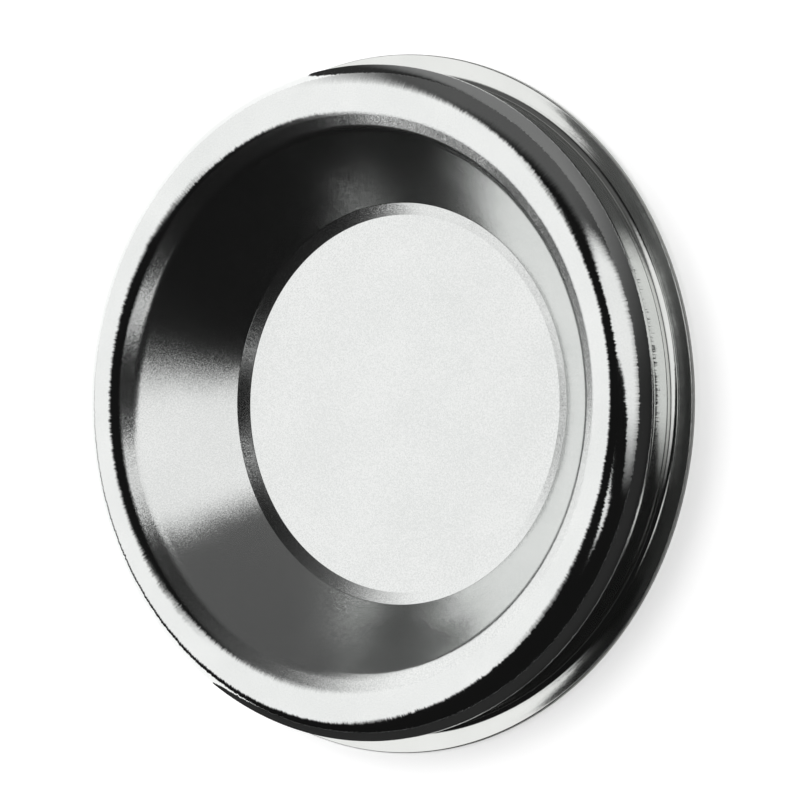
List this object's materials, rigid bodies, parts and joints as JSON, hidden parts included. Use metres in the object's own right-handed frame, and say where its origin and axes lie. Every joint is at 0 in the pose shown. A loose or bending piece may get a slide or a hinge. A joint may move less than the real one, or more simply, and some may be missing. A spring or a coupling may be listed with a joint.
{
  "type": "parts sorting tray",
  "caption": "Round pressed-steel parts dish with a flat floor, sloping wall, rolled nose and flanged base, on a rubber ring.",
  "frame": {"origin": "on the tray's axis, at the level of the surface it stands on", "axes": "+Z along the tray's axis, out of the dish; X and Y lie anywhere across it, because it is round"},
  "size_m": [0.1, 0.1, 0.014],
  "materials": {
    "bright_plated_steel": "bright plating over drawn steel, satin on the floor",
    "zinc_plated_steel": "dull zinc plate",
    "ferrite": "ground sintered ferrite",
    "black_rubber": "matt moulded rubber"
  },
  "bodies": {
    "root": {"tray_shell": "bright_plated_steel", "base_ring": "bright_plated_steel", "bottom_cover": "zinc_plated_steel", "keeper_ring": "zinc_plated_steel", "ring_magnet": "ferrite", "anti_slip_ring": "black_rubber"}
  },
  "joints": []
}
